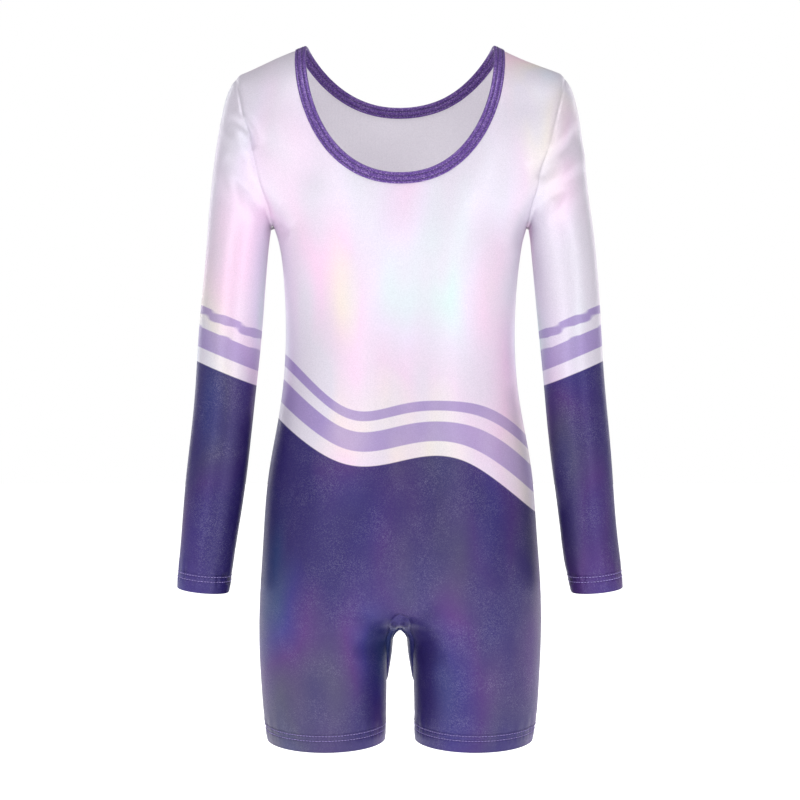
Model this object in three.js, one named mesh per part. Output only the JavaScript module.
// A child's gymnastics leotard with long sleeves and short legs, about size 128, shaped as it is worn.
// Millimetres. The origin is midway between the two high points of the shoulders; +Z is up, the front
// faces -Y and the wearer's left is +X. Every fabric piece is a thin closed shell of the finished shape.
import * as THREE from "three";

// ---------------------------------------------------------------- driving dimensions
const LENGTH = 588; // high point of the shoulder to the leg hem
const FABRIC = 1; // thickness of the foiled stretch knit
const SEAM_GAP = 0.2; // each side of a seam stays this far from the seam's own surface
const LAYER_GAP = 0.5; // between a layer and the one that lies on it

const NECK = { half: 80.5, frontDrop: 118, backDrop: 46 };
const SHOULDER = { x: 139.6, z: -26 }; // top of the armhole
const ARMPIT = { x: 108.6, z: -155 }; // bottom of the armhole
const ARMHOLE_DEPTH = 45; // half of the armhole, front to back
const CROTCH_Z = -495;
const HIP_Z = -430; // the groove over the crotch ends here
const BELLY_Z = -340; // from here up the section is one round
const LEG_GAP = 11.2; // half of the space between the legs at the hem
const HEM_TILT = 0.087; // the leg openings drop towards the front
const CUFF_TILT = 0.05;
const HEM_WIDTH = 15;
const HEM_STITCH_ROWS = { lower: 9.4, upper: 13.4 }; // above the edge
const BINDING = { width: 8.4, thickness: 0.8, stitchRows: { inner: 2.2, outer: 6.6 } };
const ELASTIC = { width: 6, thickness: 0.7 };
const SEAM = { width: 5, thickness: 0.8 }; // the overlocked allowance on the inside

// Half width of the body at each height. Above the armpit it is the width that the shoulders suggest.
const HALF_WIDTH = profile([
  [-LENGTH, 114.5], [-560, 117.8], [-506, 120.2], [-430, 118.6], [-370, 113.2], [-300, 101.4],
  [-240, 97.3], [-190, 100.5], [ARMPIT.z, ARMPIT.x], [-120, 134], [-90, 150], [-40, 168], [0, 176],
]);
const FRONT_DEPTH = profile([
  [-LENGTH, 55], [-495, 66], [-440, 72], [-380, 71], [-310, 67], [-240, 66], [-160, 74], [-60, 69], [0, 63],
]);
const BACK_DEPTH = profile([
  [-LENGTH, 60], [-495, 79], [-440, 89], [-380, 83], [-310, 68], [-240, 63], [-160, 76], [-60, 77], [0, 70],
]);
// The sleeve's outline seen from the front: its outer and inner edge, from the armhole to the cuff.
const SLEEVE_OUTER = [
  [SHOULDER.x, SHOULDER.z], [148, -42], [153, -67], [157.6, -97], [161.4, -130], [164.6, -155],
  [168.8, -216], [173.4, -280], [178.8, -345], [184, -405], [188.9, -459],
];
const SLEEVE_INNER = [
  [ARMPIT.x, ARMPIT.z], [109, -157.5], [109.4, -160], [109.6, -162], [109.8, -164], [110, -166],
  [114.6, -222], [119.6, -285], [127, -350], [134.6, -410], [142.8, -463.5],
];
const SLEEVE_DEPTH = [ARMHOLE_DEPTH, 42.5, 39, 35.5, 33, 31.5, 30, 28.5, 27.5, 26.5, 25];
const HEAD_LOOPS = 5; // intervals from the armhole down to where the sleeve turns
const SLEEVE_FORWARD = 12; // how far the cuff hangs in front of the shoulder
const PIVOT = { x: (SHOULDER.x + ARMPIT.x) / 2, z: (SHOULDER.z + ARMPIT.z) / 2 };
const TURN_RADIUS = 76; // the sleeve turns on this cylinder round the pivot
const TURN_GAP = 0.3; // each side of it
const TURN_REACH = { inward: 12, below: 50, level: 1.5 }; // where a point may belong to the turning edge

const CHEST_Z = -130; // above this the front and back curve in to meet at the shoulder
const CAP_POWER = 2.2;
const GUSSET_SIDE_Z = CROTCH_Z - 45; // the gusset's point on each leg's inner seam
const GUSSET_TIP_Z = CROTCH_Z + 12; // and its point at the centre front and back
const GUSSET_INSET = 1.6; // from the panels' edges, which curve towards it between their rows
const LINING_INSET = 4;
const GUSSET_SHARE = 0.12; // of a panel's width, from the crotch line to the gusset's edge

const HALF_PANEL_WIDTH = 180; // round the section at the crotch, about

const ACROSS = 10; // cells from the side seam to the centre line
const ARMHOLE_CELLS = 12; // cells from the armpit to the shoulder, front or back
const NECK_CENTRE_CELLS = { front: 2, back: 5 }; // of those, the ones below the neckline
const BODY_ROWS = [
  -LENGTH, -580, -560, GUSSET_SIDE_Z, -538, -525, -510, -501, CROTCH_Z, -491, -485, GUSSET_TIP_Z, -470,
  -452, HIP_Z, -405, -380, -355, -330, -305, -280, -255, -230, -205, -185, -168,
];

// ---------------------------------------------------------------- small tools
const clamp01 = (t) => Math.min(1, Math.max(0, t));
const smooth = (t) => clamp01(t) ** 2 * (3 - 2 * clamp01(t));
const mix = (a, b, t) => a + (b - a) * t;
const mix2 = (a, b, t) => [mix(a[0], b[0], t), mix(a[1], b[1], t)];
const range = (n) => Array.from({ length: n }, (_, i) => i);

/** A smooth function through [place, value] keys in rising order. */
function profile(keys) {
  const slope = (i) => {
    const [a, b] = [keys[Math.max(0, i - 1)], keys[Math.min(keys.length - 1, i + 1)]];
    return (b[1] - a[1]) / (b[0] - a[0]);
  };
  return (place) => {
    const x = Math.min(keys.at(-1)[0], Math.max(keys[0][0], place));
    const i = Math.min(keys.length - 2, Math.max(0, keys.findIndex((k) => k[0] >= x) - 1));
    const span = keys[i + 1][0] - keys[i][0];
    const t = (x - keys[i][0]) / span;
    return (
      keys[i][1] * (1 + 2 * t) * (1 - t) ** 2 + keys[i + 1][1] * t * t * (3 - 2 * t) +
      span * (slope(i) * t * (1 - t) ** 2 - slope(i + 1) * t * t * (1 - t))
    );
  };
}

/** The parameters from 0 to 1 that cut a curve into n equal lengths. */
function evenly(curve, n) {
  const fine = range(401).map((i) => curve(i / 400));
  const along = [0];
  fine.slice(1).forEach((p, i) => along.push(along[i] + p.distanceTo(fine[i])));
  return range(n + 1).map((k) => {
    const target = (along.at(-1) * k) / n;
    const i = Math.min(400, Math.max(1, along.findIndex((d) => d >= target)));
    return (i - 1 + (target - along[i - 1]) / (along[i] - along[i - 1])) / 400;
  });
}

// ---------------------------------------------------------------- the body's surface
const depthOf = (face) => (face < 0 ? FRONT_DEPTH : BACK_DEPTH);
const squareness = (z) => mix(1, 0.86, smooth((z - CROTCH_Z) / 95)); // a leg is round, the trunk boxier
const ridge = (x) => (SHOULDER.z * (Math.abs(x) - NECK.half)) / (SHOULDER.x - NECK.half);

/**
 * A point below the armpit. side is -1 or 1, face -1 (front) or 1, and s runs from 0 at the side seam to 1
 * at the inner leg or the centre line: first a quarter turn to the section's deepest place, then the rest,
 * which is another quarter turn on a leg and flattens out up the trunk.
 */
function lowerPoint(side, face, z, s) {
  const halfWidth = HALF_WIDTH(z);
  const depth = depthOf(face)(z);
  const below = Math.max(0, CROTCH_Z - z);
  const gap = LEG_GAP * Math.sqrt(below / (below + 12));
  const legMiddle = (halfWidth + LEG_GAP * smooth(below / 80)) / 2;
  const deepest = legMiddle * (1 - smooth((z - CROTCH_Z) / (BELLY_Z - CROTCH_Z)));
  const up = clamp01((z - CROTCH_Z) / (HIP_Z - CROTCH_Z));
  const innerTurn = (Math.PI / 2) * (1 - Math.sqrt(up * (2 - up)));
  const outerLength = Math.hypot(halfWidth - deepest, depth);
  const innerLength = Math.hypot(deepest - gap, depth * (1 - Math.cos(innerTurn)));
  const along = s * (outerLength + innerLength);
  let x, y;
  if (along <= outerLength) {
    const turn = (Math.PI / 2) * (along / outerLength);
    x = mix(deepest, halfWidth, Math.cos(turn));
    y = depth * Math.sin(turn) ** squareness(z);
  } else {
    const rest = (along - outerLength) / innerLength;
    const flat = innerTurn < 0.001;
    x = mix(deepest, gap, flat ? rest : Math.sin(rest * innerTurn) / Math.sin(innerTurn));
    y = depth * Math.max(0, Math.cos(rest * innerTurn));
  }
  const hem = HEM_TILT * smooth((CROTCH_Z + 15 - z) / 80);
  return new THREE.Vector3(side * x, face * y, z + hem * face * y);
}

/** How deep the trunk is at a place above the armpit, before the armhole shapes it. */
function upperDepth(face, x, z) {
  const across = Math.max(0, 1 - (x / HALF_WIDTH(z)) ** 2) ** (squareness(z) / 2);
  const up = clamp01((z - CHEST_Z) / (ridge(x) - CHEST_Z));
  return face * depthOf(face)(z) * across * Math.sqrt(1 - up ** CAP_POWER);
}

/** The neckline, t from 0 at its lowest point to 1 at the shoulder. */
function neckPoint(side, face, t) {
  const [drop, wide, tall] = face < 0 ? [NECK.frontDrop, 2.2, 2.2] : [NECK.backDrop, 2.4, 1.1];
  const x = NECK.half * Math.sin((t * Math.PI) / 2) ** (2 / wide);
  const z = Math.min(ridge(x), -drop * Math.max(0, Math.cos((t * Math.PI) / 2)) ** (2 / tall));
  return new THREE.Vector3(side * x, t === 1 ? 0 : upperDepth(face, x, z), z);
}

/** The armhole: turn is 0 at the armpit and PI at the shoulder, and past PI it comes down the back. */
function armholePoint(side, turn) {
  const [x, z] = mix2([ARMPIT.x, ARMPIT.z], [SHOULDER.x, SHOULDER.z], (1 - Math.cos(turn)) / 2);
  return new THREE.Vector3(side * x, -ARMHOLE_DEPTH * Math.sin(turn), z);
}

/** The rows of points of one half of the front or back panel, hem first, from the side to the centre. */
function halfPanel(side, face) {
  const name = face < 0 ? "front" : "back";
  const rows = BODY_ROWS.map((z) => {
    const end = panelEnd(z);
    return range(ACROSS + 1).map((i) => lowerPoint(side, face, z, (end * i) / ACROSS));
  });
  const centreCells = NECK_CENTRE_CELLS[name];
  const stops = evenly((t) => neckPoint(side, face, t), ARMHOLE_CELLS - centreCells);
  const neckBottom = face < 0 ? -NECK.frontDrop : -NECK.backDrop;
  for (const k of range(ARMHOLE_CELLS + 1)) {
    const outer = armholePoint(side, (-face * Math.PI * k) / ARMHOLE_CELLS);
    const inner = k < centreCells
      ? new THREE.Vector3(0, 0, mix(ARMPIT.z, neckBottom, k / centreCells))
      : neckPoint(side, face, stops[k - centreCells]);
    const straight = smooth(k / 4);
    const miss = outer.y - upperDepth(face, Math.abs(outer.x), outer.z);
    rows.push(range(ACROSS + 1).map((i) => {
      const s = i / ACROSS;
      const c = mix(1 - Math.cos((s * Math.PI) / 2), s, straight);
      const [x, z] = mix2([outer.x, outer.z], [inner.x, inner.z], c);
      const atShoulder = k === ARMHOLE_CELLS;
      const y = atShoulder ? 0 : upperDepth(face, Math.abs(x), z) + miss * (1 - c) ** 2;
      return new THREE.Vector3(x, y, z);
    }));
  }
  return rows;
}

/** Where a panel stops: at the gusset where there is one, or at the centre or inner leg. */
function panelEnd(z) {
  const upLeg = (z - GUSSET_SIDE_Z) / (CROTCH_Z - GUSSET_SIDE_Z);
  const downTrunk = (GUSSET_TIP_Z - z) / (GUSSET_TIP_Z - CROTCH_Z);
  return 1 - GUSSET_SHARE * clamp01(Math.min(upLeg, downTrunk));
}

/** One quarter of the gusset, between a panel and the crotch line. */
function gussetQuarter(side, face, inset) {
  const heights = BODY_ROWS.filter((z) => z > GUSSET_SIDE_Z && z < GUSSET_TIP_Z);
  return heights.map((z) => {
    const start = Math.min(1, panelEnd(z) + inset / HALF_PANEL_WIDTH);
    return range(4).map((i) => lowerPoint(side, face, z, mix(start, 1, i / 3)));
  });
}

// ---------------------------------------------------------------- the sleeves' surface
/** A point on the sleeve: turn as on the armhole, level counted in loops from the armhole to the cuff. */
function sleevePoint(side, turn, level) {
  const i = Math.min(SLEEVE_DEPTH.length - 2, Math.max(0, Math.floor(level)));
  const t = level - i;
  const outer = mix2(SLEEVE_OUTER[i], SLEEVE_OUTER[i + 1], t);
  const inner = mix2(SLEEVE_INNER[i], SLEEVE_INNER[i + 1], t);
  const [x, z] = mix2(inner, outer, (1 - Math.cos(turn)) / 2);
  const down = (SHOULDER.z - z) / (SHOULDER.z - SLEEVE_INNER.at(-1)[1]);
  const y = -mix(SLEEVE_DEPTH[i], SLEEVE_DEPTH[i + 1], t) * Math.sin(turn);
  const low = smooth((level - HEAD_LOOPS) / 4);
  return new THREE.Vector3(side * x, y - SLEEVE_FORWARD * low * down, z + CUFF_TILT * low * y);
}

const LOOP_CELLS = 2 * ARMHOLE_CELLS;
const CUFF_LEVEL = SLEEVE_DEPTH.length - 1;

function sleeveLoops(side, from, to) {
  return range(to - from + 1).map((k) =>
    range(LOOP_CELLS + 1).map((i) => sleevePoint(side, (2 * Math.PI * i) / LOOP_CELLS, from + k)),
  );
}

// ---------------------------------------------------------------- solids
/** A closed mesh from points and triangles, its faces turned outwards whichever way they were listed. */
function closedMesh(points, triangles) {
  let volume = 0;
  for (const [a, b, c] of triangles) {
    volume += points[a].dot(new THREE.Vector3().crossVectors(points[b], points[c]));
  }
  const faces = volume < 0 ? triangles.map(([a, b, c]) => [a, c, b]) : triangles;
  return new THREE.BufferGeometry().setFromPoints(points).setIndex(faces.flat());
}

/** The points and triangles of patches of rows, welded where they meet, each with its faces one way. */
function weld(patches) {
  const points = [];
  const found = new Map();
  const numberOf = (p) => {
    const key = [p.x, p.y, p.z].map((c) => Math.round(c * 1000) + 0).join();
    if (!found.has(key)) {
      found.set(key, points.push(p.clone()) - 1);
    }
    return found.get(key);
  };
  const triangles = [];
  for (const { rows, flip } of patches) {
    for (const j of range(rows.length - 1)) {
      for (const i of range(rows[j].length - 1)) {
        const corners = [rows[j][i], rows[j][i + 1], rows[j + 1][i + 1], rows[j + 1][i]];
        // Cut on the longer diagonal, which is then the longest edge of both triangles.
        const [a, b, c, d] = corners.map(numberOf);
        const first = corners[0].distanceTo(corners[2]) >= corners[1].distanceTo(corners[3]);
        for (const t of first ? [[a, b, c], [a, c, d]] : [[a, b, d], [b, c, d]]) {
          if (new Set(t).size === 3) {
            triangles.push(flip ? [t[0], t[2], t[1]] : t);
          }
        }
      }
    }
  }
  return { points, triangles };
}

/** A shell: the welded patches, a copy pushed in by the thickness, and a rim along every free edge. */
function shell(patches, { lift = 0, thickness = FABRIC, keepWithin = () => {} }) {
  const { points, triangles } = weld(patches);
  const normals = points.map(() => new THREE.Vector3());
  const edges = new Set();
  for (const t of triangles) {
    const [a, b, c] = t.map((i) => points[i]);
    const normal = new THREE.Vector3().crossVectors(b.clone().sub(a), c.clone().sub(a));
    t.forEach((corner) => normals[corner].add(normal));
    [0, 1, 2].forEach((i) => edges.add(t[i] + "," + t[(i + 1) % 3]));
  }
  normals.forEach((n) => n.normalize());
  const n = points.length;
  const layer = (depth) => points.map((p, i) => p.clone().addScaledVector(normals[i], -depth));
  const all = [...layer(lift), ...layer(lift + thickness)];
  all.forEach(keepWithin);
  const faces = [...triangles, ...triangles.map(([a, b, c]) => [a + n, c + n, b + n])];
  for (const edge of edges) {
    const [a, b] = edge.split(",").map(Number);
    if (!edges.has(b + "," + a)) {
      faces.push([b, a, a + n], [b, a + n, b + n]);
    }
  }
  return closedMesh(all, faces);
}

/** Stations along a seam or an edge: a point, the way into the fabric, and the outward normal. */
function stationsOn(places, closed) {
  return places.map(({ point, into }, i) => {
    const last = places.length - 1;
    const next = places[closed ? (i + 1) % places.length : Math.min(last, i + 1)].point;
    const before = places[closed ? (i + last) % places.length : Math.max(0, i - 1)].point;
    const along = next.clone().sub(before).normalize();
    const across = into.clone().addScaledVector(along, -into.dot(along)).normalize();
    return { point, across, normal: new THREE.Vector3().crossVectors(along, across) };
  });
}

/** A section of [into the fabric, outwards] points swept along stations; out is 1 or -1 for the normal. */
function sweep(stations, section, { closed = true, out = 1 }) {
  const points = stations.flatMap(({ point, across, normal }) =>
    section.map(([e, n]) => point.clone().addScaledVector(across, e).addScaledVector(normal, n * out)),
  );
  const size = section.length;
  const triangles = [];
  for (const k of range(closed ? stations.length : stations.length - 1)) {
    for (const i of range(size)) {
      const [a, b] = [k * size + i, k * size + ((i + 1) % size)];
      const step = (((k + 1) % stations.length) - k) * size;
      triangles.push([a, b, b + step], [a, b + step, a + step]);
    }
  }
  if (!closed) {
    const end = (stations.length - 1) * size;
    for (const i of range(size - 2)) {
      triangles.push([0, i + 2, i + 1], [end, end + i + 1, end + i + 2]);
    }
  }
  return closedMesh(points, triangles);
}

const rectangle = (e0, e1, n0, n1) => [[e0, n0], [e1, n0], [e1, n1], [e0, n1]];
const THREAD = 0.5;
/** A row of thread at e from the edge, standing on an outer surface n from the fabric's. */
const threadSection = (e, n = 0) => [
  [e - THREAD / 2, n + LAYER_GAP], [e + THREAD / 2, n + LAYER_GAP], [e, n + LAYER_GAP + THREAD],
];
/** An overlocked seam allowance, flat against the inside. Its fabric curves away from it on both sides. */
const SEAM_DEPTH = 2.2;
const seamSection = rectangle(-SEAM.width / 2, SEAM.width / 2, -SEAM_DEPTH - SEAM.thickness, -SEAM_DEPTH);

// ---------------------------------------------------------------- materials
const FINISH = {
  foilPurple: new THREE.MeshStandardMaterial({ color: 0x3d2f86, roughness: 0.38, metalness: 0.25 }),
  foilPearl: new THREE.MeshStandardMaterial({ color: 0xe6e0ee, roughness: 0.35, metalness: 0.15 }),
  binding: new THREE.MeshStandardMaterial({ color: 0x6a46a3, roughness: 0.45, metalness: 0.2 }),
  thread: new THREE.MeshStandardMaterial({ color: 0x6b4fa8, roughness: 0.6, metalness: 0 }),
  knit: new THREE.MeshStandardMaterial({ color: 0xd9d7dc, roughness: 0.85, metalness: 0 }),
  elastic: new THREE.MeshStandardMaterial({ color: 0xefefef, roughness: 0.8, metalness: 0 }),
};

const garment = new THREE.Group();
garment.name = "gymnastics_leotard";
function add(name, geometry, material) {
  const mesh = new THREE.Mesh(geometry, material);
  mesh.name = name;
  garment.add(mesh);
}

// ---------------------------------------------------------------- limits that keep seams apart
const armholeNormal = new THREE.Vector2(SHOULDER.z - ARMPIT.z, ARMPIT.x - SHOULDER.x).normalize();
/** How far a point is outside the armhole's plane. */
const pastArmhole = (p) =>
  (Math.abs(p.x) - ARMPIT.x) * armholeNormal.x + (p.z - ARMPIT.z) * armholeNormal.y;
function moveAlongArmhole(p, distance) {
  p.x += Math.sign(p.x) * armholeNormal.x * distance;
  p.z += armholeNormal.y * distance;
}

/** Keeps a panel on its own side of the side seams and armholes, and its hem flat. */
function keepPanel(face) {
  return (p) => {
    p.y = face * Math.max(face * p.y, SEAM_GAP);
    if (p.z > ARMPIT.z - 2 && pastArmhole(p) > -SEAM_GAP) {
      moveAlongArmhole(p, -SEAM_GAP - pastArmhole(p));
    }
    if (p.z < -LENGTH + HEM_TILT * p.y + 1) {
      p.z = -LENGTH + HEM_TILT * p.y;
    }
  };
}

const fromPivot = (p) => Math.hypot(Math.abs(p.x) - PIVOT.x, p.z - PIVOT.z);
function setFromPivot(p, radius) {
  const scale = radius / fromPivot(p);
  p.x = Math.sign(p.x) * (PIVOT.x + (Math.abs(p.x) - PIVOT.x) * scale);
  p.z = PIVOT.z + (p.z - PIVOT.z) * scale;
}
/** The sleeve head stays outside the armhole and inside the turning cylinder. */
function keepHead(p) {
  if (pastArmhole(p) < SEAM_GAP) {
    moveAlongArmhole(p, SEAM_GAP - pastArmhole(p));
  }
  if (fromPivot(p) > TURN_RADIUS - TURN_REACH.inward && p.z < PIVOT.z - TURN_REACH.below) {
    const inCylinder = TURN_RADIUS - TURN_GAP;
    if (fromPivot(p) > inCylinder || nearTurnLoop(p)) {
      setFromPivot(p, inCylinder);
    }
  }
}
/** The height of the cuff's edge, which lies in one plane. */
function cuffHeight(p) {
  const [inner, outer] = [SLEEVE_INNER.at(-1), SLEEVE_OUTER.at(-1)];
  const z = mix(inner[1], outer[1], (Math.abs(p.x) - inner[0]) / (outer[0] - inner[0]));
  const down = (SHOULDER.z - z) / (SHOULDER.z - inner[1]);
  return z + CUFF_TILT * (p.y + SLEEVE_FORWARD * down);
}
/** The sleeve stays outside the turning cylinder, and its cuff is flat. */
function keepSleeve(p) {
  if (p.z < cuffHeight(p) + 1) {
    p.z = cuffHeight(p);
  }
  if (fromPivot(p) < TURN_RADIUS + TURN_GAP || nearTurnLoop(p)) {
    setFromPivot(p, TURN_RADIUS + TURN_GAP);
  }
}
/** Whether a point belongs to the loop where the head and the sleeve meet. */
function nearTurnLoop(p) {
  const [outer, inner] = [SLEEVE_OUTER[HEAD_LOOPS], SLEEVE_INNER[HEAD_LOOPS]];
  const t = (Math.abs(p.x) - inner[0]) / (outer[0] - inner[0]);
  return Math.abs(p.z - mix(inner[1], outer[1], t)) < TURN_REACH.level;
}

// ---------------------------------------------------------------- body panels and gusset
for (const [name, face] of [["front_panel", -1], ["back_panel", 1]]) {
  const halves = [-1, 1].map((side) => ({ rows: halfPanel(side, face), flip: side * face < 0 }));
  add(name, shell(halves, { keepWithin: keepPanel(face) }), FINISH.foilPurple);
}

/** The four quarters of a gusset whose edge is set back from the panels. */
const quarters = (inset) =>
  [[-1, -1], [-1, 1], [1, -1], [1, 1]].map(([side, face]) => ({
    rows: gussetQuarter(side, face, inset), flip: side * face < 0,
  }));
add("crotch_gusset", shell(quarters(GUSSET_INSET), {}), FINISH.foilPurple);
const LINING = { lift: FABRIC + 1, thickness: 0.7 };
add("gusset_lining", shell(quarters(LINING_INSET), LINING), FINISH.knit);

// ---------------------------------------------------------------- sleeves
for (const [name, side] of [["right", -1], ["left", 1]]) {
  const head = { rows: sleeveLoops(side, 0, HEAD_LOOPS), flip: side > 0 };
  const arm = { rows: sleeveLoops(side, HEAD_LOOPS, CUFF_LEVEL), flip: side > 0 };
  add(`${name}_sleeve_head`, shell([head], { keepWithin: keepHead }), FINISH.foilPearl);
  add(`${name}_sleeve`, shell([arm], { keepWithin: keepSleeve }), FINISH.foilPurple);
}

// ---------------------------------------------------------------- neckline
function neckStations() {
  const quarter = (side, face) => {
    const rows = halfPanel(side, face);
    const first = BODY_ROWS.length + NECK_CENTRE_CELLS[face < 0 ? "front" : "back"];
    return rows.slice(first).map((row, k) => {
      const inside = k === 0 ? rows[first - 1][ACROSS] : row[ACROSS - 1];
      return { point: row[ACROSS], into: inside.clone().sub(row[ACROSS]) };
    });
  };
  const places = [
    ...quarter(1, -1),
    ...quarter(1, 1).reverse().slice(1),
    ...quarter(-1, 1).slice(1),
    ...quarter(-1, -1).reverse().slice(1, -1),
  ];
  return stationsOn(places, true);
}

const neck = neckStations();
const elasticTop = -FABRIC - LAYER_GAP;
const elasticBottom = elasticTop - ELASTIC.thickness;
const bindingInside = elasticBottom - LAYER_GAP;
const bindingSection = [
  [BINDING.width, LAYER_GAP], [BINDING.width, LAYER_GAP + BINDING.thickness],
  [-LAYER_GAP, LAYER_GAP + BINDING.thickness], [-LAYER_GAP - BINDING.thickness, -LAYER_GAP],
  [-LAYER_GAP - BINDING.thickness, bindingInside + LAYER_GAP],
  [-LAYER_GAP, bindingInside - BINDING.thickness], [BINDING.width - 1, bindingInside - BINDING.thickness],
  [BINDING.width - 1, bindingInside], [-LAYER_GAP, bindingInside], [-LAYER_GAP, LAYER_GAP],
];
add("neck_binding", sweep(neck, bindingSection, { out: -1 }), FINISH.binding);
const elasticSection = rectangle(0.4, 0.4 + ELASTIC.width, elasticBottom, elasticTop);
add("neck_elastic", sweep(neck, elasticSection, { out: -1 }), FINISH.elastic);
for (const [row, e] of Object.entries(BINDING.stitchRows)) {
  const section = threadSection(e, LAYER_GAP + BINDING.thickness);
  add(`neck_topstitch_${row}`, sweep(neck, section, { out: -1 }), FINISH.thread);
}

// ---------------------------------------------------------------- hems
function legEdge(side) {
  const place = (face, i) => {
    const point = lowerPoint(side, face, -LENGTH, i / ACROSS);
    return { point, into: lowerPoint(side, face, -LENGTH + HEM_WIDTH, i / ACROSS).sub(point) };
  };
  const front = range(ACROSS).map((i) => place(-1, i));
  const back = range(ACROSS).map((i) => place(1, ACROSS - i));
  return stationsOn([...front, ...back], true);
}
function cuffEdge(side) {
  const [above, edge] = sleeveLoops(side, CUFF_LEVEL - 1, CUFF_LEVEL);
  const places = edge.slice(1).map((point, i) => ({ point, into: above[i + 1].clone().sub(point) }));
  return stationsOn(places, true);
}
const hemSection = rectangle(LAYER_GAP, HEM_WIDTH, -2 * FABRIC - LAYER_GAP, -FABRIC - LAYER_GAP);

for (const [name, side] of [["right", -1], ["left", 1]]) {
  for (const [hem, edge, out] of [["leg", legEdge(side), -side], ["cuff", cuffEdge(side), side]]) {
    add(`${name}_${hem}_hem`, sweep(edge, hemSection, { out }), FINISH.foilPurple);
    for (const [row, e] of Object.entries(HEM_STITCH_ROWS)) {
      add(`${name}_${hem}_topstitch_${row}`, sweep(edge, threadSection(e), { out }), FINISH.thread);
    }
  }
}

// ---------------------------------------------------------------- seams
/** A seam along points on the surface, its allowance lying to the front and back of them. */
function seam(points, out) {
  const forward = new THREE.Vector3(0, -1, 0);
  const stations = stationsOn(points.map((point) => ({ point, into: forward })), false);
  return sweep(stations, seamSection, { closed: false, out });
}
const SHOULDER_STATIONS = 5;
const UNDERARM_START = 0.08; // of a loop below the turning edge
const NECK_CLEARANCE = 4; // shifts the shoulder seam away from the neck binding
const SEAM_END = 3; // from the end of a seam to the next piece inside the garment
const aboveHem = -LENGTH + HEM_WIDTH + SEAM_END;

for (const [name, side] of [["right", -1], ["left", 1]]) {
  const sideHeights = [aboveHem, ...BODY_ROWS.filter((z) => z > aboveHem), ARMPIT.z - 2 * SEAM_END];
  const sideLine = sideHeights.map((z) => lowerPoint(side, -1, z, 0));
  add(`${name}_side_seam`, seam(sideLine, side), FINISH.thread);

  const innerHeights = [aboveHem, -560, GUSSET_SIDE_Z - SEAM_END];
  const innerLine = innerHeights.map((z) => lowerPoint(side, -1, z, 1));
  add(`${name}_inseam`, seam(innerLine, -side), FINISH.thread);

  const ridgeLine = range(SHOULDER_STATIONS).map((i) => {
    const x = mix(NECK.half, SHOULDER.x, (i + 0.5) / SHOULDER_STATIONS) + NECK_CLEARANCE;
    return new THREE.Vector3(side * x, 0, ridge(x));
  });
  add(`${name}_shoulder_seam`, seam(ridgeLine, -side), FINISH.elastic);

  const lastLevel = CUFF_LEVEL - (HEM_WIDTH + SEAM_END) / (SLEEVE_INNER.at(-2)[1] - SLEEVE_INNER.at(-1)[1]);
  const between = range(CUFF_LEVEL - HEAD_LOOPS - 1).map((i) => HEAD_LOOPS + 1 + i);
  const levels = [HEAD_LOOPS + UNDERARM_START, ...between, lastLevel];
  const underarm = levels.map((level) => sleevePoint(side, 0, level));
  add(`${name}_underarm_seam`, seam(underarm, side), FINISH.thread);

  const armhole = range(LOOP_CELLS).map((i) => {
    const turn = (2 * Math.PI * i) / LOOP_CELLS;
    const point = sleevePoint(side, turn, 0);
    return { point, into: sleevePoint(side, turn, 1).sub(point) };
  });
  const allowance = rectangle(1, 1 + SEAM.width, -SEAM_DEPTH - SEAM.thickness, -SEAM_DEPTH);
  const ring = sweep(stationsOn(armhole, true), allowance, { out: -side });
  add(`${name}_armhole_seam`, ring, FINISH.thread);
}

export default garment;
